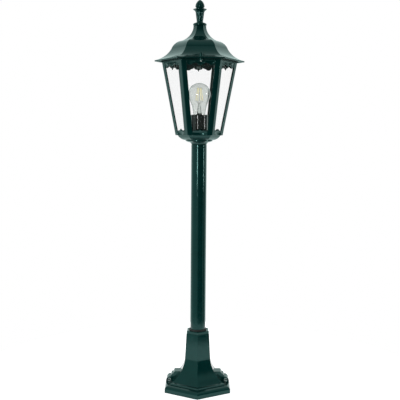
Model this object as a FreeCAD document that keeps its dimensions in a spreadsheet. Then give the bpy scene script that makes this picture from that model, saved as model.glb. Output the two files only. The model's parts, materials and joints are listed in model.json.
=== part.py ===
"""Hexagonal garden post lantern: cast foot, tubular pole, glazed cage, lift-off roof and lamp.

Millimetres, +Z up.  The origin is on the post's axis at ground level.  The foot's hexagon has its
corners on the Y axis and the lantern's hexagon has its corners on the X axis, so that a glazed
face looks along -Y, which is the front.
"""
import FreeCAD, Part
import Sketcher
import math
import os
import re

V = FreeCAD.Vector
doc = FreeCAD.newDocument("post_lantern")

# ---------------------------------------------------------------------------------------------
# Driving dimensions.  "reach" is the distance from the axis to a flat of a hexagon.
# ---------------------------------------------------------------------------------------------
SIZES = {
    # foot casting
    "foot_reach": 89.5, "foot_wall": 4, "plinth_side": 9, "plinth_round": 9, "plinth_height": 17,
    "plinth_ledge": 6, "plinth_slope": 2.5, "step_reach": 74.5, "step_height": 4, "trunk_reach": 68,
    "trunk_foot": 24.5, "flare_radius": 88.8, "neck_base": 94, "neck_base_reach": 34.4,
    "neck_top_reach": 31.3, "collar_reach": 29.2, "collar_height": 7, "collar_cove": 2,
    "foot_height": 163, "socket_floor": 110, "floor_wall": 8,
    "lug_reach": 79, "lug_width": 30, "lug_wall": 3, "lug_tunnel": 5.2, "lug_shoulder": 23,
    "lug_round": 13, "lug_top": 34, "scroll_step": 7, "scroll_round": 6, "scroll_root": 51.5,
    "scroll_crest": 45, "anchor_hole": 3.3, "anchor_seat": 19.5,
    # pole
    "pole_radius": 21, "pole_wall": 2, "pole_length": 556.5, "slip": 0.15,
    "seal_width": 3.2, "seal_height": 4, "seal_slope": 1.6,
    "plug_rim": 9, "plug_spigot": 20, "plug_round": 2, "plug_groove": 0.8,
    # tie tube and its hardware
    "tie_radius": 5, "tie_bore": 4, "tie_slip": 0.3, "washer_radius": 10, "washer_thick": 1.6,
    "nut_flats": 17, "lower_nut": 8, "upper_nut": 6, "tie_tail": 2,
    # dish under the lantern
    "dish_ring_radius": 20.6, "cove_radius": 26.5, "cove_height": 6.5, "ledge_radius": 36.3,
    "ledge_height": 9.5, "ledge_thick": 3, "dish_height": 26.5, "dish_reach": 50, "dish_wall": 3.6,
    "dish_floor": 14.5, "belly_reach": 31.5, "belly_rise": 11.5, "belly_round": 24, "rim_height": 3.5,
    "rim_drop": 2, "rim_wall": 3.6, "cove_round": 9, "screw_rise": 1,
    # cage
    "lantern_turn": 2, "cage_base_reach": 56, "cage_top_reach": 88.3, "cage_height": 195,
    "bar_wall": 3, "bar_width": 13, "bar_round": 2.4, "bar_foot": 1.5, "ring_web": 8, "ring_plate": 3,
    "ring_inner": 72, "ring_brim": 1.6, "joint_gap": 0.1,
    "pane_thick": 3, "pane_margin": 2.6, "pane_gap": 0.4, "pane_rest": 0.1, "pane_room": 0.8,
    "frieze_thick": 2.6, "frieze_notch": 5, "frieze_lobe": 9, "frieze_drop": 15.6, "lobe_place": 20.5,
    "notch_place": 12.5, "lobe_round": 9, "drop_place": 5, "drop_step": 5.5, "drop_round": 7,
    "plate_gap": 0.3,
    "gallery_thick": 2.6, "gallery_side": 9, "gallery_peak": 15.5, "gallery_sink": 1.5, "gallery_step": 2,
    "gallery_round": 26, "clip_width": 12, "clip_thick": 1.2, "clip_reach": 3.2,
    "screw_radius": 1.5, "screw_slip": 0.1, "screw_head": 2.8, "screw_cap": 1.8, "screw_grip": 1.4,
    # roof
    "gasket_thick": 2, "gasket_inset": 5, "gasket_width": 6, "eave_reach": 104.6, "eave_rise": 0.8,
    "eave_drip": 2.6, "eave_slope": 2.8, "soffit_reach": 99, "seat_rise": 8, "sweep_radius": 58.9,
    "roof_wall": 3,
    "roof_height": 92, "hip_reach": 65.5, "hip_drop": 60, "dome_round": 33, "dome_reach": 48.1,
    "dome_drop": 40.4, "shoulder_reach": 39.6, "shoulder_drop": 38, "neck_round": 44, "neck_reach": 15,
    "neck_drop": 5, "crown_reach": 14.7, "crown_wall": 11, "hip_angle": 21, "dome_angle": 65,
    "boss_radius": 6, "boss_rise": 7,
    # roof lock screws
    "lock_reach": 95, "lock_radius": 2.4, "ear_radius": 5.5, "ear_depth": 6.5, "lock_tip": 8,
    "knob_radius": 4.2, "knob_height": 6, "knob_bore": 3.5, "knob_round": 2.6, "lock_slip": 0.3,
    "thread_slip": 0.05,
    # finial
    "disc_radius": 19.3, "disc_height": 7.5, "disc_round": 3.6, "stud_radius": 4, "stud_above": 12,
    "stem_foot": 10.6, "stem_waist": 8.6, "waist_rise": 5.5, "stem_top": 11.6, "stem_height": 28.5,
    "foot_edge": 1.2, "waist_round": 5.5, "cup_round": 12,
    "flange_radius": 18.2, "flange_rise": 35.5, "flange_edge": 1.2, "bud_base": 9.8, "bud_foot": 39,
    "bud_radius": 12.3, "bud_rise": 43, "bud_round": 22, "tip_reach": 4.2, "tip_drop": 2,
    "tip_round": 5.42, "tip_flat": 0.4, "finial_height": 61.5,
    # lampholder
    "holder_radius": 23.2, "holder_wall": 1.8, "holder_height": 57.9, "holder_cap_height": 13,
    "cap_round": 8, "cap_wall": 3, "core_thick": 5, "core_lip": 2, "shell_bore": 13.5, "shell_wall": 0.8,
    "shell_rim": 17.5, "holder_mouth": 17.2, "shell_short": 0.6, "mouth_lip": 2.4,
    "sleeve_lap": 6, "sleeve_round": 1,
    "holder_nipple": 8, "blade_foot": 12, "blade_heel": 5, "blade_width": 8, "blade_thick": 0.8,
    "contact_gap": 0.3,
    # bulb
    "bulb_radius": 30, "bulb_length": 112, "glass_wall": 0.9, "bulb_neck": 15.8, "bulb_flare": 116,
    "bulb_shoulder": 13, "bulb_cap_radius": 13.1, "bulb_cap_wall": 0.5, "bulb_cap_height": 17,
    "neck_depth": 5,
    "insulator_height": 3, "insulator_foot": 7, "button_radius": 5, "button_height": 1.5,
    "filament_radius": 0.9, "filament_length": 34, "filament_ring": 10.5, "filament_rise": 38,
    "filament_lean": 5.5, "wire_radius": 0.4, "mount_radius": 5, "mount_height": 30, "mount_flare": 30,
    # wiring chamber
    "strap_width": 12, "strap_thick": 1.5, "strap_place": 23, "strap_length": 66, "strap_foot": 11,
    "block_wide": 30, "block_deep": 14, "block_tall": 20, "lead_radius": 3, "lead_rise": 12,
    "lead_slope": 12, "chamber_screw": 2, "chamber_head": 3.8,
}

# Places that follow from the driving dimensions.
DERIVED = {
    "ledge_top": "plinth_height + plinth_slope",
    "step_top": "ledge_top + step_height",
    "chamber_top": "socket_floor - floor_wall",
    "flare_centre": "neck_base_reach + flare_radius",
    "pole_top": "socket_floor + pole_length",
    "dish_base": "pole_top + plug_rim",
    "floor_top": "dish_base + dish_floor",
    "cage_base": "dish_base + dish_height",
    "cage_top": "cage_base + cage_height",
    "plate_base": "cage_top - ring_plate",
    "web_base": "cage_top - ring_web",
    "bar_screw": "web_base + ring_web / 4",
    "lean": "(cage_top_reach - cage_base_reach) / cage_height",
    "tilt": "atan(lean)",
    "roof_base": "cage_top + gasket_thick",
    "roof_top": "roof_base + roof_height",
    "finial_base": "roof_top + disc_height",
    "knob_base": "roof_base + boss_rise",
    "tie_foot": "chamber_top - washer_thick - lower_nut - tie_tail",
    "holder_base": "floor_top + washer_thick + upper_nut",
    "holder_top": "holder_base + holder_height",
    "core_seat": "holder_base + holder_cap_height + sleeve_lap / 2",
    "core_base": "core_seat - core_lip",
    "core_top": "core_seat + core_thick",
    "cap_top": "holder_top - neck_depth",
    "cap_base": "cap_top - bulb_cap_height",
    "button_base": "cap_base - insulator_height - button_height",
    "bulb_top": "button_base + bulb_length",
    "bulb_middle": "bulb_top - bulb_radius",
    "pane_depth": "bar_wall + pane_gap",
}

sheet = doc.addObject("Spreadsheet::Sheet", "dims")
for row, (alias, number) in enumerate(SIZES.items(), start=1):
    sheet.set("A%d" % row, alias)
    sheet.set("B%d" % row, str(number))
    sheet.setAlias("B%d" % row, alias)
doc.recompute()


def formula(text):
    """Turn a formula in plain size names into one that reads the sheet's cells."""
    def swap(match):
        word = match.group(0)
        if word in DERIVED:
            return "(" + formula(DERIVED[word]) + ")"
        return "dims." + word if word in SIZES else word
    return re.sub(r"[a-z_][a-z_0-9]*", swap, str(text))


def value(text):
    """The number that a formula gives now."""
    result = sheet.evalExpression(formula(text))
    return float(getattr(result, "Value", result))


# ---------------------------------------------------------------------------------------------
# Modelling helpers
# ---------------------------------------------------------------------------------------------
parts = []
TAN30 = "0.5773502692"
COS30 = "0.8660254038"


def new_body(label, turn=0):
    """A sub-part of its own, turned about the post's axis by a number of degrees."""
    body = doc.addObject("PartDesign::Body", label)
    body.Label = label
    body.Placement = FreeCAD.Placement(V(), FreeCAD.Rotation(V(0, 0, 1), turn))
    parts.append(body)
    return body


def new_sketch(body, plane, rise="0", out="0", tilt="0"):
    """A sketch on one of the body's own planes, shifted along it and off it, and tilted."""
    sketch = body.newObject("Sketcher::SketchObject", body.Name + "_sketch")
    base = [item for item in body.Origin.OriginFeatures if item.Role == plane][0]
    sketch.AttachmentSupport = [(base, "")]
    sketch.MapMode = "FlatFace"
    sketch.AttachmentOffset = FreeCAD.Placement(V(), FreeCAD.Rotation(V(1, 0, 0), value(tilt)))
    sketch.setExpression("AttachmentOffset.Base.y", formula(rise))
    sketch.setExpression("AttachmentOffset.Base.z", formula(out))
    if tilt != "0":
        sketch.setExpression("AttachmentOffset.Rotation.Angle", formula(tilt))
    return sketch


def add_datum(sketch, kind, first, second, text):
    """A constraint whose value is a formula."""
    number = sketch.addConstraint(Sketcher.Constraint(kind, *first, *second, value(text)))
    sketch.setExpression("Constraints[%d]" % number, formula(text))


def pin_point(sketch, geometry, point, across, up):
    """Fix a point of a sketch at its two coordinates."""
    for kind, text, axis in (("DistanceX", across, -2), ("DistanceY", up, -1)):
        if text == "0":
            sketch.addConstraint(Sketcher.Constraint("PointOnObject", geometry, point, axis))
        else:
            add_datum(sketch, kind, (-1, 1), (geometry, point), text)


def outline(sketch, corners):
    """A closed outline.  A corner is (across, up) and may add the radius of the arc that runs on to
    the next corner: a positive radius turns left along the way round, a negative one turns right."""
    places = [V(value(corner[0]), value(corner[1]), 0) for corner in corners]
    ends = []
    for index, corner in enumerate(corners):
        start = places[index]
        stop = places[(index + 1) % len(places)]
        if len(corner) == 2:
            number = sketch.addGeometry(Part.LineSegment(start, stop), False)
            ends.append((number, 1, 2))
            continue
        left = not corner[2].startswith("-")
        radius = value(corner[2].lstrip("-"))
        chord = stop - start
        side = V(-chord.y, chord.x, 0).normalize() * (1 if left else -1)
        reach = math.sqrt(max(radius ** 2 - (chord.Length / 2) ** 2, 0))
        centre = (start + stop) * 0.5 + side * reach
        first, last = (start, stop) if left else (stop, start)
        angles = [math.atan2(spot.y - centre.y, spot.x - centre.x) for spot in (first, last)]
        whole = Part.Circle(centre, V(0, 0, 1), radius)
        number = sketch.addGeometry(Part.ArcOfCircle(whole, angles[0], angles[1]), False)
        ends.append((number, 1, 2) if left else (number, 2, 1))
    for index, corner in enumerate(corners):
        number, start, stop = ends[index]
        following = ends[(index + 1) % len(ends)]
        sketch.addConstraint(Sketcher.Constraint("Coincident", number, stop, following[0], following[1]))
        pin_point(sketch, number, start, corner[0], corner[1])
        if len(corner) == 3:
            radius = corner[2].lstrip("-")
            datum = sketch.addConstraint(Sketcher.Constraint("Radius", number, value(radius)))
            sketch.setExpression("Constraints[%d]" % datum, formula(radius))
    return sketch


def circle(sketch, radius, across="0", up="0"):
    """A full circle."""
    centre = V(value(across), value(up), 0)
    number = sketch.addGeometry(Part.Circle(centre, V(0, 0, 1), value(radius)), False)
    datum = sketch.addConstraint(Sketcher.Constraint("Radius", number, value(radius)))
    sketch.setExpression("Constraints[%d]" % datum, formula(radius))
    if across == "0" and up == "0":
        sketch.addConstraint(Sketcher.Constraint("Coincident", number, 3, -1, 1))
    else:
        pin_point(sketch, number, 3, across, up)
    return sketch


def rectangle(sketch, left, right, low, high):
    """A rectangle from its four sides."""
    return outline(sketch, [(left, low), (right, low), (right, high), (left, high)])


def feature(body, kind, sketch, length=None, side="One side", reverse=False):
    """A pad, pocket, revolution or groove of a sketch."""
    item = body.newObject("PartDesign::" + kind, body.Name + "_" + kind.lower())
    item.Profile = sketch
    if kind in ("Revolution", "Groove"):
        item.ReferenceAxis = (sketch, ["V_Axis"])
        item.Angle = 360
    else:
        item.SideType = side
        item.setExpression("Length", formula(length))
        item.Reversed = reverse
    body.Tip = item
    doc.recompute()
    return item


def pad(body, sketch, length, side="One side", reverse=False):
    return feature(body, "Pad", sketch, length, side, reverse)


def pocket(body, sketch, length, side="One side", reverse=False):
    """Cut a sketch into the body, and make sure that something was cut."""
    before = body.Shape.Volume
    item = feature(body, "Pocket", sketch, length, side, reverse)
    if body.Shape.Volume > before - 1e-3:
        raise RuntimeError("a pocket of %s cuts nothing" % body.Label)
    return item


def revolve(body, corners):
    """Turn an outline, given as (radius, height), about the post's axis."""
    return feature(body, "Revolution", outline(new_sketch(body, "XZ_Plane"), corners))


def repeat_round(body, count):
    """Repeat the whole body round its axis."""
    pattern = body.newObject("PartDesign::PolarPattern", body.Name + "_pattern")
    pattern.TransformMode = "Whole shape"
    axis = [item for item in body.Origin.OriginFeatures if item.Role == "Z_Axis"][0]
    pattern.Axis = (axis, [""])
    pattern.Angle = 360
    pattern.Occurrences = count
    body.Tip = pattern
    doc.recompute()


def hexagonal(body, plane, corners, reach, height):
    """Run a wall section, given as (reach, height), round a hexagon with mitred corners: one side is
    padded, cut back to its sixth of a turn and repeated.  XZ_Plane puts flats on X, YZ_Plane on Y."""
    section = outline(new_sketch(body, plane), corners)
    pad(body, section, "4 * (%s) * %s" % (reach, TAN30), "Symmetric")
    cut = new_sketch(body, "XY_Plane")
    far = "2 * (%s)" % reach
    side = "2 * (%s) * %s" % (reach, TAN30)
    wide = "4 * (%s) * %s" % (reach, TAN30)
    shape = [("0", "0"), (far, side), (far, wide), ("-" + far, wide), ("-" + far, "-" + wide),
             (far, "-" + wide), (far, "-" + side)]
    if plane == "YZ_Plane":
        shape = [(up, across) for across, up in shape]
    pocket(body, outline(cut, shape), "2 * (%s)" % height, "Symmetric")
    repeat_round(body, 6)


def ring(label, inner, outer, low, high, turn=0):
    """A plain round ring, or a disc where the inner radius is 0."""
    body = new_body(label, turn)
    revolve(body, [(inner, low), (outer, low), (outer, high), (inner, high)])
    return body


def repeat_features(body, items, count):
    """Repeat some of the body's features round its axis."""
    pattern = body.newObject("PartDesign::PolarPattern", body.Name + "_pattern")
    pattern.TransformMode = "Features"
    pattern.Originals = items
    pattern.Axis = ([item for item in body.Origin.OriginFeatures if item.Role == "Z_Axis"][0], [""])
    pattern.Angle = 360
    pattern.Occurrences = count
    body.Tip = pattern
    doc.recompute()


def solid(kind, name, turn=0, **formulas):
    """A Part primitive whose sizes and place are formulas."""
    item = doc.addObject("Part::" + kind, name)
    item.Placement = FreeCAD.Placement(V(), FreeCAD.Rotation(V(0, 0, 1), turn))
    for size, text in formulas.items():
        path = "Placement.Base." + size if size in ("x", "y", "z") else size
        item.setExpression(path, formula(text))
    doc.recompute()
    return item


def joined(kind, name, first, second):
    """A cut or a fusion of two Part objects."""
    item = doc.addObject("Part::" + kind, name)
    item.Base = first
    item.Tool = second
    doc.recompute()
    return item


def group(label, items):
    """Identical fasteners, or loose pieces that belong together, share one sub-part."""
    item = doc.addObject("Part::Compound", label)
    item.Label = label
    item.Links = items
    doc.recompute()
    parts.append(item)
    return item


def single(label, item):
    """A sub-part made of one Part object."""
    item.Label = label
    parts.append(item)
    return item


def face_at(level, inset="0"):
    """The reach of a cage face at a height, less an inset."""
    return "cage_base_reach + lean * ((%s) - cage_base) - (%s)" % (level, inset)


def face_plane(body, depth="0"):
    """A sketch in the sloping plane of the cage's front face, some depth behind its outside.  Its
    origin is on the cage's base line, its X runs along the face and its Y up the slope."""
    rise = "cage_base + (%s) * sin(tilt)" % depth
    out = "cage_base_reach - (%s) * cos(tilt)" % depth
    return new_sketch(body, "XZ_Plane", rise, out, "tilt")


def half_face(up, depth="0", inset="0"):
    """Half the width of a cage face at a distance up its slope, less an inset."""
    reach = "cage_base_reach - (%s) * cos(tilt) + (%s) * sin(tilt)" % (depth, up)
    return "(%s) * %s - (%s)" % (reach, TAN30, inset)


def face_turns():
    """The six faces of the lantern: their names and their turns from the front."""
    names = ("front", "front_right", "back_right", "back", "back_left", "front_left")
    return [(name, value("lantern_turn") + 60 * index) for index, name in enumerate(names)]


def corner_turns():
    """The six corners of the lantern: their names and their turns from the X axis."""
    names = ("right", "back_right", "back_left", "left", "front_left", "front_right")
    return [(name, value("lantern_turn") + 60 * index) for index, name in enumerate(names)]


# ---------------------------------------------------------------------------------------------
# Foot: a hollow cast pedestal with two scrolled anchor lugs, one on each X side
# ---------------------------------------------------------------------------------------------
def foot_casting():
    body = new_body("foot_casting")
    inner_flare = "flare_radius + foot_wall"
    inner_foot = "flare_centre - sqrt((%s)^2 - (neck_base - plinth_height)^2)" % inner_flare
    hexagonal(body, "XZ_Plane", [
        ("foot_reach - foot_wall", "0"),
        ("foot_reach", "0"),
        ("foot_reach", "plinth_side", "plinth_round"),
        ("foot_reach - plinth_ledge", "plinth_height"),
        ("step_reach", "ledge_top"),
        ("step_reach", "step_top"),
        ("trunk_reach", "trunk_foot", "-flare_radius"),
        ("neck_base_reach", "neck_base"),
        ("neck_top_reach", "foot_height - collar_height - collar_cove"),
        ("collar_reach", "foot_height - collar_height"),
        ("collar_reach", "foot_height - 1"),
        ("collar_reach - 1", "foot_height"),
        ("0", "foot_height"),
        ("0", "chamber_top"),
        ("neck_base_reach - foot_wall", "chamber_top"),
        ("neck_base_reach - foot_wall", "neck_base", inner_flare),
        (inner_foot, "plinth_height"),
        ("step_reach - foot_wall / 2", "plinth_height - foot_wall"),
        ("foot_reach - foot_wall", "plinth_side"),
    ], "foot_reach", "foot_height")
    outer = "lug_reach + lug_tunnel + lug_wall"
    inner = "lug_reach - lug_tunnel - lug_wall"
    crest = "lug_reach - lug_tunnel"
    lug = pad(body, outline(new_sketch(body, "XZ_Plane"), [
        (inner, "0"),
        (outer, "0"),
        (outer, "lug_shoulder", "lug_round"),
        (crest, "lug_top", "scroll_round"),
        (crest + " - scroll_step", "lug_top + scroll_step", "scroll_round"),
        (crest + " - 2 * scroll_step", "lug_top + 2 * scroll_step"),
        ("scroll_crest", "lug_top + 2 * scroll_step"),
        ("scroll_root", "lug_top + scroll_step / 2"),
        (inner, "plinth_height"),
    ]), "lug_width", "Symmetric")
    tunnel = circle(new_sketch(body, "XZ_Plane"), "lug_tunnel", "lug_reach", "anchor_seat + lug_tunnel")
    tunnel = pocket(body, tunnel, "lug_width + 2", "Symmetric")
    hole = circle(new_sketch(body, "XY_Plane"), "anchor_hole", "lug_reach", "0")
    hole = pocket(body, hole, "anchor_seat + lug_tunnel", reverse=True)
    repeat_features(body, [lug, tunnel, hole], 2)
    socket = circle(new_sketch(body, "XY_Plane", out="foot_height"), "pole_radius + slip")
    pocket(body, socket, "foot_height - socket_floor")
    floor = circle(new_sketch(body, "XY_Plane", out="socket_floor"), "tie_radius + tie_slip")
    pocket(body, floor, "2 * floor_wall")
    strap_hole = circle(new_sketch(body, "XY_Plane", out="socket_floor"), "chamber_screw + screw_slip",
                        "0", "strap_place - strap_foot / 2")
    pocket(body, strap_hole, "2 * floor_wall")


# ---------------------------------------------------------------------------------------------
# Pole, and the hollow tie tube that clamps dish, pole and foot together
# ---------------------------------------------------------------------------------------------
def pole():
    ring("pole_tube", "pole_radius - pole_wall", "pole_radius", "socket_floor", "pole_top")
    inner = "pole_radius + joint_gap"
    outer = "pole_radius + seal_width"
    revolve(new_body("pole_seal"), [
        (inner, "foot_height"),
        (outer, "foot_height"),
        (outer, "foot_height + seal_height - seal_slope"),
        (outer + " - seal_slope", "foot_height + seal_height"),
        (inner, "foot_height + seal_height"),
    ])
    spigot = "pole_radius - pole_wall - slip"
    revolve(new_body("pole_top_plug"), [
        ("tie_radius + tie_slip", "pole_top - plug_spigot"),
        (spigot, "pole_top - plug_spigot"),
        (spigot, "pole_top"),
        ("pole_radius - plug_groove", "pole_top"),
        ("pole_radius", "pole_top + plug_groove"),
        ("pole_radius", "dish_base - plug_round", "plug_round"),
        ("pole_radius - plug_round", "dish_base"),
        ("tie_radius + tie_slip", "dish_base"),
    ])
    ring("tie_tube", "tie_bore", "tie_radius", "tie_foot", "holder_base + holder_nipple")


def washer(name, low):
    outer = solid("Cylinder", name + "_disc", Radius="washer_radius", Height="washer_thick", z=low)
    bore = solid("Cylinder", name + "_bore", Radius="tie_radius + tie_slip", Height="washer_thick", z=low)
    return joined("Cut", name, outer, bore)


def nut(name, low, tall):
    prism = doc.addObject("Part::Prism", name + "_prism")
    prism.Polygon = 6
    prism.setExpression("Circumradius", formula("nut_flats / 2 / %s" % COS30))
    prism.setExpression("Height", formula(tall))
    prism.setExpression("Placement.Base.z", formula(low))
    bore = solid("Cylinder", name + "_bore", Radius="tie_radius + thread_slip", Height=tall, z=low)
    return joined("Cut", name, prism, bore)


def tie_hardware():
    group("tie_washers", [washer("washer_low", "chamber_top - washer_thick"),
                          washer("washer_high", "floor_top")])
    group("tie_nuts", [nut("nut_low", "chamber_top - washer_thick - lower_nut", "lower_nut"),
                       nut("nut_high", "floor_top + washer_thick", "upper_nut")])


# ---------------------------------------------------------------------------------------------
# Wiring chamber inside the foot
# ---------------------------------------------------------------------------------------------
def wiring():
    body = new_body("terminal_strap")
    back = "strap_place"
    front = "strap_place - strap_thick"
    low = "chamber_top - strap_length"
    arm = outline(new_sketch(body, "YZ_Plane"), [
        ("strap_place - strap_foot", "chamber_top - strap_thick"),
        (front, "chamber_top - strap_thick"),
        (front, low),
        (back, low),
        (back, "chamber_top"),
        ("strap_place - strap_foot", "chamber_top"),
    ])
    pad(body, arm, "strap_width", "Symmetric")
    hole = circle(new_sketch(body, "XY_Plane", out="chamber_top"), "chamber_screw + screw_slip",
                  "0", "strap_place - strap_foot / 2")
    pocket(body, hole, "2 * strap_thick")
    block = new_body("terminal_block")
    body = rectangle(new_sketch(block, "XZ_Plane", out="-(%s)" % front), "-block_wide / 2",
                     "block_wide / 2", low, low + " + block_tall")
    pad(block, body, "block_deep")
    for index in (-1, 0, 1):
        place = "%d * block_wide / 3" % index if index else "0"
        well = circle(new_sketch(block, "XZ_Plane", out="block_deep - (%s)" % front), "chamber_screw",
                      place, low + " + block_tall / 2")
        pocket(block, well, "block_deep / 2")
    bolt = solid("Cylinder", "strap_bolt_shank", Radius="chamber_screw", Height="floor_wall",
                 y="strap_place - strap_foot / 2", z="chamber_top - strap_thick")
    head = solid("Cylinder", "strap_bolt_head", Radius="chamber_head", Height="screw_cap",
                 y="strap_place - strap_foot / 2", z="chamber_top - strap_thick - screw_cap")
    single("strap_screw", joined("Fuse", "strap_screw", bolt, head))


def supply_lead():
    """The lead from the terminal block, up the bore of the tie tube, to the lampholder's core."""
    start = V(0, value("strap_place - strap_thick - block_deep / 2"),
              value("chamber_top - strap_length + block_tall"))
    turn = V(0, start.y, start.z + value("lead_rise"))
    level = turn.z + value("lead_slope")
    path = [start, turn, V(0, 0, level), V(0, 0, value("core_base"))]
    edges = []
    here = path[0]
    for before, corner, after in zip(path, path[1:], path[2:]):
        first = (before - corner).normalize()
        last = (after - corner).normalize()
        bend = math.pi - first.getAngle(last)
        run = min((before - corner).Length, (after - corner).Length)
        reach = 0.45 * run
        radius = reach / math.tan(bend / 2)
        enter = corner + first * reach
        leave = corner + last * reach
        middle = corner + (first + last).normalize() * (radius / math.cos(bend / 2) - radius)
        edges.append(Part.LineSegment(here, enter).toShape())
        edges.append(Part.Arc(enter, middle, leave).toShape())
        here = leave
    edges.append(Part.LineSegment(here, path[-1]).toShape())
    wire = Part.Wire(edges)
    section = Part.Wire(Part.Circle(start, V(0, 0, 1), value("lead_radius")).toShape())
    item = doc.addObject("Part::Feature", "supply_lead")
    item.Label = "supply_lead"
    item.Shape = wire.makePipeShell([section], True, False)
    parts.append(item)
    print("lead", wire.Length, item.Shape.Volume / (math.pi * value("lead_radius") ** 2))


# ---------------------------------------------------------------------------------------------
# Cage: corner bars between the dish's rim and a top ring, glazed and trimmed with cast plates
# ---------------------------------------------------------------------------------------------
def corner_screw_holes(body, level):
    """Radial holes through the corners of a hexagonal ring, for the screws that hold the bars."""
    hole = circle(new_sketch(body, "YZ_Plane"), "screw_radius + screw_slip", "0", level)
    hole = pocket(body, hole, "2 * cage_top_reach / %s" % COS30, reverse=True)
    repeat_features(body, [hole], 6)


def dish_casting():
    body = new_body("dish_casting", value("lantern_turn"))
    rim_foot = face_at("cage_base - rim_drop", "bar_wall + joint_gap")
    rim_top = face_at("cage_base + rim_height", "bar_wall + joint_gap")
    hexagonal(body, "YZ_Plane", [
        ("0", "dish_base + ledge_height"),
        ("belly_reach", "dish_base + ledge_height"),
        ("belly_reach", "dish_base + belly_rise", "belly_round"),
        ("dish_reach", "cage_base - rim_drop"),
        (rim_foot, "cage_base - rim_drop"),
        (rim_top, "cage_base + rim_height"),
        (rim_top + " - rim_wall", "cage_base + rim_height"),
        (rim_foot + " - rim_wall", "cage_base - rim_drop", "-belly_round"),
        ("belly_reach - dish_wall", "floor_top"),
        ("0", "floor_top"),
    ], "cage_base_reach", "cage_top")
    revolve(body, [
        ("0", "dish_base"),
        ("dish_ring_radius", "dish_base", "-cove_round"),
        ("cove_radius", "dish_base + cove_height"),
        ("cove_radius + ledge_thick", "dish_base + cove_height"),
        ("ledge_radius", "dish_base + ledge_height"),
        ("ledge_radius", "dish_base + ledge_height + ledge_thick"),
        ("0", "dish_base + ledge_height + ledge_thick"),
    ])
    bore = circle(new_sketch(body, "XY_Plane", out="cage_top"), "tie_radius + tie_slip")
    pocket(body, bore, "cage_top - dish_base + 1")
    corner_screw_holes(body, "cage_base + screw_rise")


def top_ring():
    body = new_body("cage_top_ring", value("lantern_turn"))
    gap = "bar_wall + joint_gap"
    brim = face_at("cage_top") + " + ring_brim"
    hexagonal(body, "YZ_Plane", [
        ("ring_inner", "plate_base"),
        (face_at("web_base", gap) + " - ring_plate", "plate_base"),
        (face_at("web_base", gap) + " - ring_plate", "web_base"),
        (face_at("web_base", gap), "web_base"),
        (face_at("plate_base", gap), "plate_base"),
        (brim, "plate_base"),
        (brim, "cage_top"),
        ("ring_inner", "cage_top"),
    ], "cage_top_reach + ear_radius", "cage_top")
    bridge = rectangle(new_sketch(body, "XY_Plane", out="plate_base"), "-ear_radius", "ear_radius",
                       "-lock_reach", "-(%s)" % face_at("cage_top"))
    bridge = pad(body, bridge, "ring_plate")
    boss = circle(new_sketch(body, "XY_Plane", out="cage_top - ear_depth"), "ear_radius", "0", "-lock_reach")
    boss = pad(body, boss, "ear_depth")
    hole = circle(new_sketch(body, "XY_Plane", out="cage_top"), "lock_radius + thread_slip", "0", "-lock_reach")
    hole = pocket(body, hole, "2 * ear_depth")
    repeat_features(body, [bridge, boss, hole], 2)
    corner_screw_holes(body, "bar_screw")


def corner_bar(name, turn):
    """An angle bar that follows the cage's sloping corner from the dish to the top ring."""
    body = new_body("corner_bar_" + name, turn)
    low = "cage_base - bar_foot"
    corner = "(%s) / %s" % (face_at(low), COS30)
    upper = [
        (corner + " - bar_width / 2", "bar_width * %s" % COS30),
        (corner + " - bar_width / 2 - bar_wall * %s" % COS30, "bar_width * %s - bar_wall / 2" % COS30),
    ]
    lower = [(across, "-(%s)" % up) for across, up in upper]
    nose = corner + " - bar_round * %s / 2" % TAN30
    section = outline(new_sketch(body, "XY_Plane", out=low), [
        lower[0],
        (nose, "-bar_round / 2", "bar_round"),
        (nose, "bar_round / 2"),
        upper[0],
        upper[1],
        (corner + " - bar_wall / %s" % COS30, "0"),
        lower[1],
    ])
    bar = pad(body, section, "plate_base - (%s)" % low)
    bar.UseCustomVector = True
    bar.setExpression("Direction.x", formula("lean / %s" % COS30))
    bar.AlongSketchNormal = True
    doc.recompute()
    for level in ("cage_base + screw_rise", "bar_screw"):
        reach = "(%s) / %s - bar_wall / %s" % (face_at(level), COS30, COS30)
        hole = circle(new_sketch(body, "YZ_Plane"), "screw_radius + screw_slip", "0", level)
        pocket(body, hole, reach + " + screw_grip", reverse=True)


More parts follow.
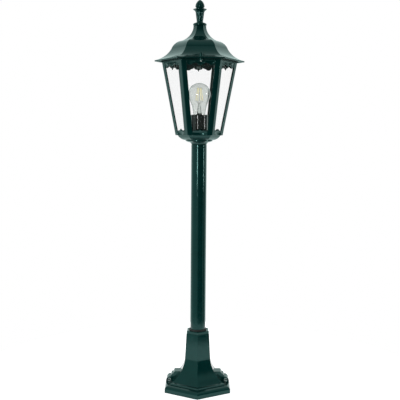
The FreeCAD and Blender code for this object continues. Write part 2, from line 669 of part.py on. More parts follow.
def face_plates(name, turn):
    """The pane, the frieze and the gallery of one face."""
    top = "(cage_height - ring_web - pane_room - pane_thick * sin(tilt)) / cos(tilt)"
    low = "(rim_height + pane_rest - pane_depth * sin(tilt)) / cos(tilt)"
    pane = new_body("glass_pane_" + name, turn)
    halves = [half_face(up, "pane_depth", "pane_margin") for up in (low, top)]
    pane_outline = outline(face_plane(pane, "pane_depth"), [
        ("-(%s)" % halves[0], low), (halves[0], low), (halves[1], top), ("-(%s)" % halves[1], top)])
    pad(pane, pane_outline, "pane_thick", reverse=True)

    frieze = new_body("frieze_" + name, turn)
    top = "(cage_height - ring_plate - frieze_thick * sin(tilt)) / cos(tilt) - plate_gap / 2"
    notch = top + " - frieze_notch"
    widths = [half_face(up, "0", "bar_width + plate_gap") for up in (notch, top)]
    lobe = top + " - frieze_lobe"
    pad(frieze, outline(face_plane(frieze), [
        ("-(%s)" % widths[1], top),
        ("-(%s)" % widths[0], notch, "lobe_round"),
        ("-lobe_place", lobe, "lobe_round"),
        ("-notch_place", notch, "drop_round"),
        ("-drop_place", notch + " - drop_step", "-drop_round"),
        ("0", top + " - frieze_drop", "-drop_round"),
        ("drop_place", notch + " - drop_step", "drop_round"),
        ("notch_place", notch, "lobe_round"),
        ("lobe_place", lobe, "lobe_round"),
        (widths[0], notch),
        (widths[1], top),
    ]), "frieze_thick", reverse=True)

    gallery = new_body("gallery_" + name, turn)
    base = "-gallery_sink"
    side = "gallery_side"
    widths = [half_face(up, "0", "bar_width + plate_gap") for up in (base, side)]
    pad(gallery, outline(face_plane(gallery), [
        ("-(%s)" % widths[0], base),
        (widths[0], base),
        (widths[1], side, "gallery_round"),
        ("gallery_peak / 4", "gallery_side + gallery_step", "-gallery_peak"),
        ("0", "gallery_peak", "-gallery_peak"),
        ("-gallery_peak / 4", "gallery_side + gallery_step", "gallery_round"),
        ("-(%s)" % widths[1], side),
    ]), "gallery_thick", reverse=True)


def cage_screws():
    """Button-head screws, driven outwards through the ring and the rim into the corner bars."""
    items = []
    for index in range(6):
        for place, level, wall in (("low", "cage_base + screw_rise", "rim_wall"),
                                   ("high", "bar_screw", "ring_plate + lean * (bar_screw - web_base)")):
            name = "cage_screw_%s_%d" % (place, index)
            turn = value("lantern_turn") + 60 * index
            tip = "(%s) / %s - bar_wall / %s + screw_grip" % (face_at(level), COS30, COS30)
            shank_length = "screw_grip + (%s + joint_gap) / %s + screw_slip + screw_head * (%s + lean)" % (
                wall, COS30, TAN30)
            head_back = shank_length + " + screw_cap"
            pieces = []
            for piece, size, length, back in (("shank", "screw_radius", shank_length, shank_length),
                                              ("head", "screw_head", "screw_cap", head_back)):
                item = doc.addObject("Part::Cylinder", name + "_" + piece)
                axis = FreeCAD.Rotation(V(0, 0, 1), turn) * FreeCAD.Rotation(V(0, 1, 0), 90)
                item.Placement = FreeCAD.Placement(V(), axis)
                item.setExpression("Radius", formula(size))
                item.setExpression("Height", formula(length))
                reach = "(%s - (%s) - screw_slip)" % (tip, back)
                spread = "(lantern_turn + %d)" % (60 * index)
                item.setExpression("Placement.Base.x", formula("%s * cos(%s)" % (reach, spread)))
                item.setExpression("Placement.Base.y", formula("%s * sin(%s)" % (reach, spread)))
                item.setExpression("Placement.Base.z", formula(level))
                pieces.append(item)
            items.append(joined("Fuse", name, pieces[0], pieces[1]))
    group("cage_screws", items)


def pane_clips():
    """Spring clips that bear on the panes' top edges, one to a face."""
    items = []
    top = "(cage_height - ring_web - pane_room - pane_thick * sin(tilt)) / cos(tilt)"
    corner = V(-value("clip_width") / 2, value(top) - value("clip_reach"),
               -value("pane_depth + pane_thick + joint_gap + clip_thick"))
    foot = V(0, -value("cage_base_reach"), value("cage_base"))
    for name, turn in face_turns():
        around = FreeCAD.Rotation(V(0, 0, 1), turn)
        spin = around * FreeCAD.Rotation(V(1, 0, 0), 90 + value("tilt"))
        item = doc.addObject("Part::Box", "pane_clip_" + name)
        item.Placement = FreeCAD.Placement(around.multVec(foot) + spin.multVec(corner), spin)
        item.setExpression("Length", formula("clip_width"))
        item.setExpression("Width", formula("2 * clip_reach"))
        item.setExpression("Height", formula("clip_thick"))
        items.append(item)
    group("pane_clips", items)


# ---------------------------------------------------------------------------------------------
# Lampholder
# ---------------------------------------------------------------------------------------------
def lampholder():
    inside = "holder_radius - holder_wall"
    joint = "core_seat - sleeve_lap"
    dome = "holder_base + cap_round"
    revolve(new_body("lampholder_cap"), [
        ("tie_radius + thread_slip", "holder_base"),
        ("holder_radius - cap_round", "holder_base", "cap_round"),
        ("holder_radius", dome),
        ("holder_radius", joint),
        (inside + " - slip", joint),
        (inside + " - slip", "core_seat"),
        (inside + " - slip - cap_wall", "core_seat"),
        (inside + " - slip - cap_wall", dome),
        ("holder_radius - cap_round - cap_wall", "holder_base + cap_wall"),
        ("tie_radius + thread_slip", "holder_base + cap_wall"),
    ])
    revolve(new_body("lampholder_core"), [
        ("0", "core_base"),
        (inside + " - slip - cap_wall - joint_gap", "core_base"),
        (inside + " - slip - cap_wall - joint_gap", "core_seat"),
        (inside + " - slip", "core_seat"),
        (inside + " - slip", "core_top"),
        ("0", "core_top"),
    ])
    revolve(new_body("lampholder_shell"), [
        ("shell_bore", "core_top"),
        ("shell_rim", "core_top"),
        ("shell_rim", "core_top + shell_wall"),
        ("shell_bore + shell_wall", "core_top + shell_wall"),
        ("shell_bore + shell_wall", "cap_top - shell_short"),
        ("shell_bore", "cap_top - shell_short"),
    ])
    revolve(new_body("lampholder_sleeve"), [
        (inside, joint + " + joint_gap"),
        ("holder_radius", joint + " + joint_gap"),
        ("holder_radius", "holder_top - sleeve_round", "sleeve_round"),
        ("holder_radius - sleeve_round", "holder_top"),
        ("holder_mouth", "holder_top"),
        ("holder_mouth", "holder_top - mouth_lip"),
        (inside, "holder_top - mouth_lip"),
    ])
    contact = new_body("lampholder_contact")
    high = "button_base - contact_gap"
    blade = outline(new_sketch(contact, "XZ_Plane"), [
        ("-blade_foot", "core_top"),
        ("-blade_heel", "core_top"),
        ("-blade_heel / 2", high + " - blade_thick"),
        ("button_radius", high + " - blade_thick"),
        ("button_radius", high),
        ("-blade_heel / 2 - blade_thick", high),
        ("-blade_heel - blade_thick", "core_top + blade_thick"),
        ("-blade_foot", "core_top + blade_thick"),
    ])
    pad(contact, blade, "blade_width", "Symmetric")


# ---------------------------------------------------------------------------------------------
# Bulb: glass envelope, screw cap, insulator with its contact button, mount, wires and filaments
# ---------------------------------------------------------------------------------------------
def rod(name, radius, start, stop):
    """A round rod between two points, each given as (distance from the axis, turn, height)."""
    places = []
    for away, turn, level in (start, stop):
        places.append(FreeCAD.Rotation(V(0, 0, 1), turn).multVec(V(value(away), 0, value(level))))
    item = doc.addObject("Part::Cylinder", name)
    item.setExpression("Radius", formula(radius))
    item.Height = (places[1] - places[0]).Length
    item.Placement = FreeCAD.Placement(places[0], FreeCAD.Rotation(V(0, 0, 1), places[1] - places[0]))
    return item


def bulb():
    thin = "bulb_radius - glass_wall"
    across = "sqrt(bulb_radius^2 - bulb_shoulder^2)"
    share = "(%s) / bulb_radius" % thin
    revolve(new_body("bulb_glass"), [
        ("bulb_cap_radius", "cap_top"),
        ("bulb_neck", "holder_top", "-bulb_flare"),
        (across, "bulb_middle - bulb_shoulder", "bulb_radius"),
        ("0", "bulb_top"),
        ("0", "bulb_top - glass_wall", "-(%s)" % thin),
        ("%s * %s" % (across, share), "bulb_middle - bulb_shoulder * %s" % share, "bulb_flare + glass_wall"),
        ("bulb_neck - glass_wall", "holder_top"),
        ("bulb_cap_radius - glass_wall", "cap_top"),
    ])
    ring("bulb_cap", "bulb_cap_radius - bulb_cap_wall", "bulb_cap_radius", "cap_base", "cap_top")
    revolve(new_body("bulb_contact"), [
        ("0", "button_base"),
        ("button_radius - 1", "button_base"),
        ("button_radius", "button_base + button_height"),
        ("insulator_foot", "button_base + button_height"),
        ("bulb_cap_radius", "cap_base"),
        ("0", "cap_base"),
    ])
    revolve(new_body("bulb_mount"), [
        ("0", "cap_top"),
        ("bulb_cap_radius - glass_wall - slip", "cap_top", "-mount_flare"),
        ("mount_radius", "holder_top + mount_height / 2"),
        ("mount_radius / 2", "holder_top + mount_height"),
        ("0", "holder_top + mount_height"),
    ])
    low = "holder_top + filament_rise"
    high = low + " + filament_length"
    filaments = []
    wires = [rod("wire_post", "wire_radius", ("0", 0, "holder_top + mount_height"), ("0", 0, high))]
    for index in range(4):
        turn = 25 + 90 * index
        filaments.append(rod("filament_%d" % index, "filament_radius", ("filament_ring", turn, low),
                             ("filament_ring - filament_lean", turn, high)))
        wires.append(rod("wire_top_%d" % index, "wire_radius", ("wire_radius", turn, high),
                         ("filament_ring - filament_lean - filament_radius", turn, high)))
        wires.append(rod("wire_low_%d" % index, "wire_radius",
                         ("mount_radius / 3", turn, "holder_top + mount_height + wire_radius"),
                         ("filament_ring", turn, low + " - 2 * wire_radius")))
    group("bulb_filaments", filaments)
    group("bulb_wires", wires)


# ---------------------------------------------------------------------------------------------
# Roof, its gasket and its two lock screws
# ---------------------------------------------------------------------------------------------
def roof():
    gasket = new_body("roof_gasket", value("lantern_turn"))
    outer = "cage_top_reach - gasket_inset + gasket_width"
    hexagonal(gasket, "YZ_Plane", [
        ("cage_top_reach - gasket_inset", "cage_top"), (outer, "cage_top"), (outer, "roof_base"),
        ("cage_top_reach - gasket_inset", "roof_base")], outer, "roof_base")
    body = new_body("roof_casting", value("lantern_turn"))
    hip = ("hip_reach", "roof_top - hip_drop")
    dome = ("dome_reach", "roof_top - dome_drop")
    shoulder = ("shoulder_reach", "roof_top - shoulder_drop")
    seat = "cage_top_reach - gasket_inset - joint_gap"

    def behind(point, angle):
        """A point one roof wall behind the skin, along the skin's normal."""
        return (point[0] + " - roof_wall * cos(%s)" % angle, point[1] + " - roof_wall * sin(%s)" % angle)
    hexagonal(body, "YZ_Plane", [
        (seat, "roof_base"),
        ("soffit_reach", "roof_base"),
        ("eave_reach - eave_slope", "roof_base - eave_drip"),
        ("eave_reach", "roof_base - eave_drip"),
        ("eave_reach", "roof_base + eave_rise", "-sweep_radius"),
        hip + ("dome_round",),
        dome,
        shoulder + ("-neck_round",),
        ("neck_reach", "roof_top - neck_drop"),
        ("crown_reach", "roof_top"),
        ("0", "roof_top"),
        ("0", "roof_top - crown_wall"),
        ("neck_reach - 2 * roof_wall / 3", "roof_top - crown_wall", "neck_round + roof_wall"),
        behind(shoulder, "dome_angle"),
        behind(dome, "dome_angle") + ("-(dome_round - roof_wall)",),
        behind(hip, "hip_angle") + ("sweep_radius + roof_wall",),
        (seat, "roof_base + seat_rise"),
    ], "eave_reach", "roof_top")
    boss = circle(new_sketch(body, "XY_Plane", out="roof_base"), "boss_radius", "0", "-lock_reach")
    boss = pad(body, boss, "boss_rise")
    hole = circle(new_sketch(body, "XY_Plane", out="knob_base"), "lock_radius + lock_slip", "0", "-lock_reach")
    hole = pocket(body, hole, "2 * boss_rise")
    repeat_features(body, [boss, hole], 2)
    bore = circle(new_sketch(body, "XY_Plane", out="roof_top"), "stud_radius + thread_slip")
    pocket(body, bore, "crown_wall + 1")


def lock_screw(name, turn):
    """A captive screw through the eave into an ear of the cage's top ring, with a domed knob."""
    spin = FreeCAD.Rotation(V(0, 0, 1), turn)
    place = FreeCAD.Placement(spin.multVec(V(0, -value("lock_reach"), 0)), spin)
    top = "knob_base + knob_bore"
    stud = ring("lock_stud_" + name, "0", "lock_radius", "cage_top - lock_tip", top)
    knob = new_body("lock_knob_" + name)
    revolve(knob, [
        ("lock_radius + thread_slip", "knob_base"),
        ("knob_radius", "knob_base"),
        ("knob_radius", "knob_base + knob_height - knob_round", "knob_round"),
        ("knob_radius - knob_round", "knob_base + knob_height"),
        ("0", "knob_base + knob_height"),
        ("0", top + " + joint_gap"),
        ("lock_radius + thread_slip", top + " + joint_gap"),
    ])
    for body in (stud, knob):
        body.Placement = place


# ---------------------------------------------------------------------------------------------
# Finial
# ---------------------------------------------------------------------------------------------
def finial():
    revolve(new_body("roof_disc"), [
        ("stud_radius + lock_slip", "roof_top"),
        ("disc_radius - disc_round", "roof_top", "disc_round + 0.4"),
        ("disc_radius - disc_round", "finial_base"),
        ("stud_radius + lock_slip", "finial_base"),
    ])
    ring("finial_stud", "0", "stud_radius", "roof_top - crown_wall", "finial_base + stud_above")
    body = new_body("finial")
    flange = "finial_base + flange_rise"
    revolve(body, [
        ("0", "finial_base"),
        ("stem_foot", "finial_base"),
        ("stem_foot", "finial_base + foot_edge", "-waist_round"),
        ("stem_waist", "finial_base + waist_rise"),
        ("stem_top", "finial_base + stem_height", "-cup_round"),
        ("flange_radius", flange),
        ("flange_radius", flange + " + flange_edge"),
        ("bud_base", "finial_base + bud_foot"),
        ("bud_radius", "finial_base + bud_rise", "bud_round"),
        ("tip_reach", "finial_base + finial_height - tip_drop", "tip_round"),
        ("tip_flat", "finial_base + finial_height"),
        ("0", "finial_base + finial_height"),
    ])
    bore = circle(new_sketch(body, "XY_Plane", out="finial_base"), "stud_radius + thread_slip")
    pocket(body, bore, "stud_above + joint_gap", reverse=True)


def write_parts():
    """Check every object and every sub-part, then write one STEP file for each sub-part."""
    doc.recompute()
    for item in doc.Objects:
        if "Invalid" in item.State or "Error" in item.State:
            raise RuntimeError("%s failed: %s" % (item.Label, item.getStatusString()))
    os.makedirs("parts", exist_ok=True)
    for part in parts:
        shape = part.Shape
        if shape.isNull() or not shape.isValid() or not shape.Solids:
            raise RuntimeError("%s has no valid shape" % part.Label)
        shape.exportStep("parts/%s.step" % part.Label)
        print("%-26s %2d solids %12.1f mm3" % (part.Label, len(shape.Solids), shape.Volume))
    print(len(parts), "sub-parts")


foot_casting()
pole()
tie_hardware()
wiring()
supply_lead()
dish_casting()
top_ring()
for place, angle in corner_turns():
    corner_bar(place, angle)
for place, angle in face_turns():
    face_plates(place, angle)
cage_screws()
pane_clips()
lampholder()
bulb()
roof()
for place, angle in (("front", 0), ("back", 180)):
    lock_screw(place, value("lantern_turn") + angle)
finial()
write_parts()
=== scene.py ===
import json
import math

import bmesh
import bpy
from mathutils import Matrix, Vector


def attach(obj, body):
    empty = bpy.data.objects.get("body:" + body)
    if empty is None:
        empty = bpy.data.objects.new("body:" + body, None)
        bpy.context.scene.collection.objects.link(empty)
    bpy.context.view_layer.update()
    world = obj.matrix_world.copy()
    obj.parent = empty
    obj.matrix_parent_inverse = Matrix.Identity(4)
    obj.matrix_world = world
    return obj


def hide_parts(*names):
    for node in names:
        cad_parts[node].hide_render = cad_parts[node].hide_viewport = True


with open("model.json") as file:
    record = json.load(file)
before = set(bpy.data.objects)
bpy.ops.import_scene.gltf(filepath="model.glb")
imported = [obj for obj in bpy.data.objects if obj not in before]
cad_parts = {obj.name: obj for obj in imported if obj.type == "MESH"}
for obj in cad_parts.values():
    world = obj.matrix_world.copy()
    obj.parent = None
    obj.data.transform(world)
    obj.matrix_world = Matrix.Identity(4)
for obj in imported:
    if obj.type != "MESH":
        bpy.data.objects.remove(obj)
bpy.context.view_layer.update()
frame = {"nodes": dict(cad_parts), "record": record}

NODES = frame["nodes"]
RECORD = frame["record"]
BODY_OF = {node: body for body, members in RECORD["behaviour"]["bodies"].items() for node in members}
SLOT_OF = {entry["node"]: entry["material_slot"] for entry in RECORD["subparts"]}

MM = 0.001
AROUND = 2 * math.pi
WHITE = (1, 1, 1, 1)


# ---------------------------------------------------------------------------------------------
# Node helpers
# ---------------------------------------------------------------------------------------------
def compute(tree, operation, *terms):
    """A Math node on terms that are numbers or other nodes' outputs."""
    node = tree.nodes.new("ShaderNodeMath")
    node.operation = operation
    for socket, term in zip(node.inputs, terms):
        if isinstance(term, bpy.types.NodeSocket):
            tree.links.new(term, socket)
        else:
            socket.default_value = term
    return node.outputs[0]


def rescale(tree, source, start, end, low=0.0, high=1.0):
    """A value taken from the range start to end into the range low to high."""
    span = tree.nodes.new("ShaderNodeMapRange")
    span.inputs["From Min"].default_value = start
    span.inputs["From Max"].default_value = end
    span.inputs["To Min"].default_value = low
    span.inputs["To Max"].default_value = high
    tree.links.new(source, span.inputs["Value"])
    return span.outputs["Result"]


def color_ramp(tree, source, stops):
    """A value turned into a colour by stops of (place, colour)."""
    ramp = tree.nodes.new("ShaderNodeValToRGB")
    points = ramp.color_ramp.elements
    while len(points) < len(stops):
        points.new(0.5)
    for point, (place, color) in zip(points, stops):
        point.position = place
        point.color = (*color, 1)
    tree.links.new(source, ramp.inputs["Fac"])
    return ramp.outputs["Color"]


def layer(tree, blend, factor, under, color):
    """Lay a colour over a colour output, by a factor."""
    mix = tree.nodes.new("ShaderNodeMix")
    mix.data_type = "RGBA"
    mix.blend_type = blend
    tree.links.new(factor, mix.inputs["Factor"])
    tree.links.new(under, mix.inputs["A"])
    mix.inputs["B"].default_value = color
    return mix.outputs["Result"]


# ---------------------------------------------------------------------------------------------
# Materials
# ---------------------------------------------------------------------------------------------
EVEN = (1, 1, 1)
NOISE_RANGE = (0.35, 0.65)       # what the noise mostly keeps to
COLOR_RANGE = (0.3, 0.7)
PLAIN_COLOR_RANGE = (0.32, 0.68)
ROUGHNESS_FINER = 2.3            # how much finer than the colour's noise the roughness's is
BUMP_FINER = 5
EDGE_ROUND = 1.1 * MM            # edges are only shaded round, the mesh keeps them sharp
EDGE_SAMPLES = 8


def new_material(name, **sockets):
    """A material with one Principled shader; the keywords set its own sockets."""
    material = bpy.data.materials.new(name)
    material.use_nodes = True
    shader = material.node_tree.nodes["Principled BSDF"]
    for socket, setting in sockets.items():
        shader.inputs[socket.replace("_", " ")].default_value = setting
    return material, material.node_tree, shader


def noise(tree, scale, detail, stretch=EVEN):
    """Noise in the object's own space, with features of about 1/scale metres."""
    where = tree.nodes.new("ShaderNodeTexCoord")
    mapping = tree.nodes.new("ShaderNodeMapping")
    mapping.inputs["Scale"].default_value = stretch
    tree.links.new(where.outputs["Object"], mapping.inputs["Vector"])
    texture = tree.nodes.new("ShaderNodeTexNoise")
    texture.inputs["Scale"].default_value = scale
    texture.inputs["Detail"].default_value = detail
    tree.links.new(mapping.outputs["Vector"], texture.inputs["Vector"])
    return texture.outputs["Fac"]


def vary(tree, source, low, high, socket):
    """Carry a texture to a socket, between two numbers."""
    tree.links.new(rescale(tree, source, *NOISE_RANGE, low, high), socket)


def vary_color(tree, source, dark, light, socket, places=COLOR_RANGE):
    """Carry a texture to a colour socket, between two colours."""
    tree.links.new(color_ramp(tree, source, list(zip(places, (dark, light)))), socket)


def emboss(tree, shader, heights, depth, soft_edges=False):
    """Bump from one or several textures, each (output, share), with a depth in metres."""
    total = 0
    for source, share in heights:
        total = compute(tree, "MULTIPLY_ADD", source, share, total)
    bump = tree.nodes.new("ShaderNodeBump")
    bump.inputs["Distance"].default_value = depth
    if soft_edges:
        bevel = tree.nodes.new("ShaderNodeBevel")
        bevel.samples = EDGE_SAMPLES
        bevel.inputs["Radius"].default_value = EDGE_ROUND
        tree.links.new(bevel.outputs["Normal"], bump.inputs["Normal"])
    tree.links.new(total, bump.inputs["Height"])
    tree.links.new(bump.outputs["Normal"], shader.inputs["Normal"])


def green_enamel():
    """Thick gloss stove enamel over a cast surface."""
    material, tree, shader = new_material("green_enamel", IOR=1.45, Specular_Tint=(0.5, 1.0, 0.94, 1))
    vary_color(tree, noise(tree, 35, 5), (0.0003, 0.0165, 0.0150), (0.0007, 0.0215, 0.0195),
               shader.inputs["Base Color"])
    vary(tree, noise(tree, 90, 4), 0.07, 0.15, shader.inputs["Roughness"])
    heights = [(noise(tree, 300, 2), 1.0), (noise(tree, 60, 2), 1.5)]
    emboss(tree, shader, heights, 0.004 * MM, soft_edges=True)
    return material


def window_glass():
    """Clear thin glass, nearly all see-through by its alpha, which doesn't bend what is behind it."""
    material, tree, shader = new_material("pane_glass", Roughness=0.02, IOR=1.5)
    vary_color(tree, noise(tree, 12, 2), (0.30, 0.36, 0.34), (0.38, 0.44, 0.42),
               shader.inputs["Base Color"])
    vary(tree, noise(tree, 9, 2), 0.020, 0.032, shader.inputs["Alpha"])
    emboss(tree, shader, [(noise(tree, 18, 1), 1.0)], 0.004 * MM)
    return material


def blown_glass():
    """Blown glass that bends what is behind it less than solid glass would."""
    material, tree, shader = new_material("bulb_glass", Roughness=0.0, IOR=1.35, Transmission_Weight=1.0)
    vary_color(tree, noise(tree, 40, 2), (0.80, 0.825, 0.81), (0.83, 0.85, 0.835),
               shader.inputs["Base Color"])
    emboss(tree, shader, [(noise(tree, 60, 1), 1.0)], 0.005 * MM)
    return material


def plain(name, dark, light, scale, rough, bump, metallic=0.0, stretch=EVEN, **more):
    """A material that varies between two colours and two roughnesses, with a bump in metres."""
    material, tree, shader = new_material(name, Metallic=metallic, **more)
    vary_color(tree, noise(tree, scale, 5, stretch), dark, light,
               shader.inputs["Base Color"], PLAIN_COLOR_RANGE)
    vary(tree, noise(tree, ROUGHNESS_FINER * scale, 3, stretch), *rough, shader.inputs["Roughness"])
    emboss(tree, shader, [(noise(tree, BUMP_FINER * scale, 3, stretch), 1.0)], bump)
    return material


MATERIALS = {
    "green_enamel": green_enamel(),
    "pane_glass": window_glass(),
    "bulb_glass": blown_glass(),
    "black_rubber": plain(
        "black_rubber", (0.008, 0.008, 0.008), (0.02, 0.02, 0.02),
        scale=120, rough=(0.5, 0.75), bump=0.08 * MM),
    "black_bakelite": plain(
        "black_bakelite", (0.0008, 0.0018, 0.0020), (0.0018, 0.0035, 0.0038),
        scale=60, rough=(0.05, 0.08), bump=0.001 * MM, IOR=1.5),
    "porcelain": plain(
        "porcelain", (0.74, 0.72, 0.66), (0.82, 0.8, 0.75),
        scale=40, rough=(0.08, 0.2), bump=0.04 * MM),
    "brass": plain(
        "brass", (0.55, 0.38, 0.13), (0.75, 0.55, 0.25),
        scale=150, rough=(0.22, 0.42), bump=0.02 * MM, metallic=1.0, stretch=(1, 1, 6)),
    "terminal_plastic": plain(
        "terminal_plastic", (0.6, 0.58, 0.52), (0.72, 0.7, 0.64),
        scale=80, rough=(0.4, 0.6), bump=0.05 * MM),
    "lead_sheath": plain(
        "lead_sheath", (0.01, 0.01, 0.01), (0.025, 0.025, 0.025),
        scale=90, rough=(0.45, 0.65), bump=0.06 * MM),
    "bulb_insulator": plain(
        "bulb_insulator", (0.01, 0.01, 0.012), (0.03, 0.03, 0.035),
        scale=150, rough=(0.2, 0.45), bump=0.04 * MM),
    # the filament's weak emission is a painted glow that makes it read pale and bright; the bulb is not
    # lit
    "filament": plain(
        "filament", (0.85, 0.72, 0.3), (0.95, 0.86, 0.5),
        scale=400, rough=(0.5, 0.7), bump=0.04 * MM,
        Emission_Color=(1.0, 0.88, 0.5, 1), Emission_Strength=0.45),
    "plated_steel": plain(
        "plated_steel", (0.42, 0.42, 0.41), (0.6, 0.6, 0.58),
        scale=200, rough=(0.25, 0.45), bump=0.03 * MM, metallic=1.0, stretch=(1, 1, 5)),
}


def dress(piece, slot):
    """Give a piece the material of one of the record's slots."""
    piece.data.materials.clear()
    piece.data.materials.append(MATERIALS[slot])


def dress_nodes():
    for node, piece in NODES.items():
        dress(piece, SLOT_OF[node])


# ---------------------------------------------------------------------------------------------
# Pieces with more detail than their CAD nodes
# ---------------------------------------------------------------------------------------------
FINIAL_LOBES = 8
LOBE_DEPTH = 0.16                # shares of the radius
FLUTE_DEPTH = 0.09
PLAIN_BAND = 4 * MM              # left uncarved at the finial's foot and tip and above its flange
FLANGE_BAND = 5 * MM             # left uncarved under the flange
RING_STEP = 1.0 * MM
AROUND_STEPS = 128
HEIGHT_DIGITS = 5                # tells heights apart to 0.01 mm
BORE_SHARE = 0.6                 # a step narrower than this share of both its neighbours is a bore's
FINIAL_SHARP = math.radians(50)

TRIM_EDGE = 1.1 * MM
TRIM_SINK = 0.7 * MM
WELD = 0.001 * MM
FLAT = math.radians(0.5)
TRIM_SHARP = math.radians(28)


def stand_for(name, form, node):
    """Link a mesh as a new piece that takes a node's place, body and slot."""
    mesh = bpy.data.meshes.new(name)
    form.to_mesh(mesh)
    form.free()
    piece = bpy.data.objects.new(name, mesh)
    bpy.context.scene.collection.objects.link(piece)
    dress(piece, SLOT_OF[node])
    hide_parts(node)
    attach(piece, BODY_OF[node])
    return piece


def outer_profile(node):
    """The (height, radius) steps of a turned node's outside, from its foot to its tip.  A step that only
    a bore has is much narrower than both its neighbours, and is left out."""
    steps = {}
    for vertex in NODES[node].data.vertices:
        height = round(vertex.co.z, HEIGHT_DIGITS)
        steps[height] = max(steps.get(height, 0), math.hypot(vertex.co.x, vertex.co.y))
    rows = sorted(steps.items())
    return [row for under, row, over in zip(rows[:1] + rows, rows, rows[1:] + rows[-1:])
            if row[1] > BORE_SHARE * min(under[1], over[1])]


def widest(profile, low, high):
    """The height of the widest step between two heights."""
    return max((radius, height) for height, radius in profile if low <= height <= high)[1]


def fill_in(profile):
    """The same outline with its steps at most RING_STEP apart in height."""
    dense = []
    for (height, radius), (above, beyond) in zip(profile, profile[1:]):
        steps = max(1, math.ceil((above - height) / RING_STEP))
        dense += [(height + (above - height) * k / steps, radius + (beyond - radius) * k / steps)
                  for k in range(steps)]
    return dense + profile[-1:]


def groove_depth(height, low, high, depth):
    """How deep grooves are at a height: none at low and high and outside them, the full depth midway."""
    place = (height - low) / (high - low)
    return depth * math.sin(math.pi * place) ** 0.5 if 0 < place < 1 else 0


def carved_ring(form, height, radius, depth):
    """A ring of vertices with a lobe between each two grooves, whose depth is a share of the radius."""
    ring = []
    for k in range(AROUND_STEPS):
        angle = AROUND * k / AROUND_STEPS
        groove = 1 - abs(math.cos(FINIAL_LOBES / 2 * angle))
        reach = radius * (1 - depth * groove ** 2)
        ring.append(form.verts.new((reach * math.cos(angle), reach * math.sin(angle), height)))
    return ring


def finial():
    """The finial with a lobed bud and a fluted stem, carved into the turned CAD shape."""
    profile = outer_profile("finial")
    foot, tip = profile[0][0], profile[-1][0]
    flange = widest(profile, foot + (tip - foot) / 3, tip)
    form = bmesh.new()
    rings = []
    for height, radius in fill_in(profile):
        lobes = groove_depth(height, flange + PLAIN_BAND, tip - PLAIN_BAND, LOBE_DEPTH)
        flutes = groove_depth(height, foot + PLAIN_BAND, flange - FLANGE_BAND, FLUTE_DEPTH)
        rings.append(carved_ring(form, height, radius, lobes + flutes))
    for low, high in zip(rings, rings[1:]):
        for k in range(AROUND_STEPS):
            j = (k + 1) % AROUND_STEPS
            form.faces.new((low[k], low[j], high[j], high[k]))
    form.faces.new(reversed(rings[0]))
    form.faces.new(rings[-1])
    for face in form.faces:
        face.smooth = len(face.verts) == 4
    piece = stand_for("finial_carved", form, "finial")
    piece.data.set_sharp_from_angle(angle=FINIAL_SHARP)


def trim_plate(node):
    """A frieze or gallery with a raised edge round a sunken field, on its two broadest faces."""
    form = bmesh.new()
    form.from_mesh(NODES[node].data)
    bmesh.ops.remove_doubles(form, verts=form.verts, dist=WELD)
    bmesh.ops.dissolve_limit(form, angle_limit=FLAT, verts=form.verts, edges=form.edges)
    broad = sorted(form.faces, key=lambda face: face.calc_area())[-2:]
    bmesh.ops.inset_region(form, faces=broad, thickness=TRIM_EDGE, depth=0, use_even_offset=False)
    bmesh.ops.inset_region(form, faces=broad, thickness=TRIM_SINK, depth=-TRIM_SINK, use_even_offset=False)
    for face in form.faces:
        face.smooth = True
    piece = stand_for(node + "_relief", form, node)
    piece.data.set_sharp_from_angle(angle=TRIM_SHARP)


def detailed_pieces():
    finial()
    for node in NODES:
        if node.startswith(("frieze_", "gallery_")):
            trim_plate(node)


# ---------------------------------------------------------------------------------------------
# Camera
# ---------------------------------------------------------------------------------------------
CAMERA_PLACE = Vector((0, -1.9614, 0.7052))
CAMERA_PITCH = math.radians(5.273)
CAMERA_ROLL = math.radians(0.401)
CAMERA_YAW = math.radians(-0.1058)
LENS_MM = 64.85
SENSOR_MM = 36


def camera():
    lens = bpy.data.cameras.new("camera")
    lens.sensor_width = SENSOR_MM
    lens.lens = LENS_MM
    piece = bpy.data.objects.new("camera", lens)
    bpy.context.scene.collection.objects.link(piece)
    turn = Matrix.Rotation(CAMERA_YAW, 3, "Z") @ Matrix.Rotation(math.pi / 2 - CAMERA_PITCH, 3, "X")
    turn = turn @ Matrix.Rotation(CAMERA_ROLL, 3, "Z")
    piece.matrix_world = Matrix.Translation(CAMERA_PLACE) @ turn.to_4x4()
    bpy.context.scene.camera = piece


# ---------------------------------------------------------------------------------------------
# Light and floor
# ---------------------------------------------------------------------------------------------
# The studio's brightness by direction: degrees round from the camera's side, positive to the right.
STUDIO = (
    (-180, 1.0), (-112, 1.0), (-100, 0.72), (-30, 0.62), (-9, 0.48), (-4, 0.05), (62, 0.03),
    (69, 0.6), (77, 0.6), (82, 0.10), (98, 0.14), (112, 1.0), (180, 1.0),
)
OVERHEAD = 0.6
OVERHEAD_FADE = (0.6, 0.92)      # how far up a direction points where the overhead starts, and is all
STUDIO_TINT = (0.78, 1.0, 0.96, 1)

STRIP_WIDTH = 0.10
STRIP_LENGTH = 0.9
STRIP_HEIGHT = 0.9
LEFT_STRIP_PLACE = (-0.74, -1.86)
LEFT_STRIP_WATTS = 12
RIGHT_STRIP_PLACE = (1.95, -0.48)
RIGHT_STRIP_WATTS = 7

FLOOR_RADIUS = 0.7
FLOOR_SIDES = 96
FLOOR_GLOW = 0.75


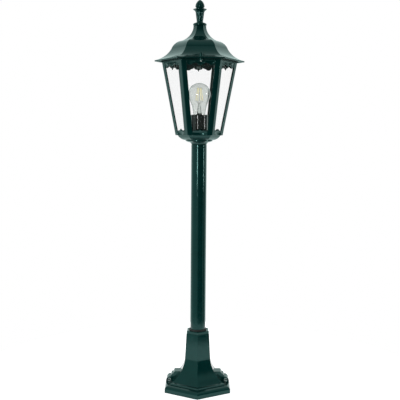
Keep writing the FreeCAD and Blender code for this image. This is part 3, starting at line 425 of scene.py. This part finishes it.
def studio():
    """The world: bright behind, grey in front to the left, and dark to the right but for one narrow band.
    Glossy rays see it tinted.  The camera, and rays through the bulb's glass, see plain white instead."""
    world = bpy.data.worlds.new("studio")
    world.use_nodes = True
    tree = world.node_tree
    where = tree.nodes.new("ShaderNodeTexCoord")
    split = tree.nodes.new("ShaderNodeSeparateXYZ")
    tree.links.new(where.outputs["Generated"], split.inputs["Vector"])
    front = compute(tree, "MULTIPLY", split.outputs["Y"], -1)
    azimuth = compute(tree, "ARCTAN2", split.outputs["X"], front)
    stops = [((degrees + 180) / 360, (level, level, level)) for degrees, level in STUDIO]
    walls = color_ramp(tree, rescale(tree, azimuth, -math.pi, math.pi), stops)
    upward = rescale(tree, split.outputs["Z"], *OVERHEAD_FADE)
    room = layer(tree, "MIX", upward, walls, (OVERHEAD, OVERHEAD, OVERHEAD, 1))
    path = tree.nodes.new("ShaderNodeLightPath")
    tinted = layer(tree, "MULTIPLY", path.outputs["Is Glossy Ray"], room, STUDIO_TINT)
    direct = compute(tree, "MAXIMUM", path.outputs["Is Camera Ray"], path.outputs["Is Transmission Ray"])
    backdrop = layer(tree, "MIX", direct, tinted, WHITE)
    tree.links.new(backdrop, tree.nodes["Background"].inputs["Color"])
    bpy.context.scene.world = world


def strip_light(name, place, watts):
    """A tall narrow area light that faces the lantern's axis, level."""
    light = bpy.data.lights.new(name, "AREA")
    light.shape = "RECTANGLE"
    light.size = STRIP_WIDTH
    light.size_y = STRIP_LENGTH
    light.energy = watts
    piece = bpy.data.objects.new(name, light)
    piece.location = (*place, STRIP_HEIGHT)
    inward = Vector((-place[0], -place[1], 0))
    piece.rotation_euler = inward.to_track_quat("-Z", "Y").to_euler()
    bpy.context.scene.collection.objects.link(piece)


def light():
    """The studio and its two strip lights."""
    studio()
    strip_light("strip_left", LEFT_STRIP_PLACE, LEFT_STRIP_WATTS)
    strip_light("strip_right", RIGHT_STRIP_PLACE, RIGHT_STRIP_WATTS)
    bpy.context.scene.view_settings.view_transform = "Standard"


def floor():
    """A pale round floor that gives off light, so that it ends near the backdrop's white."""
    mesh = bpy.data.meshes.new("floor")
    form = bmesh.new()
    bmesh.ops.create_circle(form, cap_ends=True, segments=FLOOR_SIDES, radius=FLOOR_RADIUS)
    form.to_mesh(mesh)
    form.free()
    piece = bpy.data.objects.new("floor", mesh)
    bpy.context.scene.collection.objects.link(piece)
    material = plain("floor_paint", (0.93, 0.93, 0.93), (0.95, 0.95, 0.95),
                     scale=3, rough=(0.6, 0.7), bump=0.1 * MM,
                     Emission_Color=WHITE, Emission_Strength=FLOOR_GLOW)
    mesh.materials.append(material)


# ---------------------------------------------------------------------------------------------
# Whole scene
# ---------------------------------------------------------------------------------------------
dress_nodes()
detailed_pieces()
camera()
light()
floor()
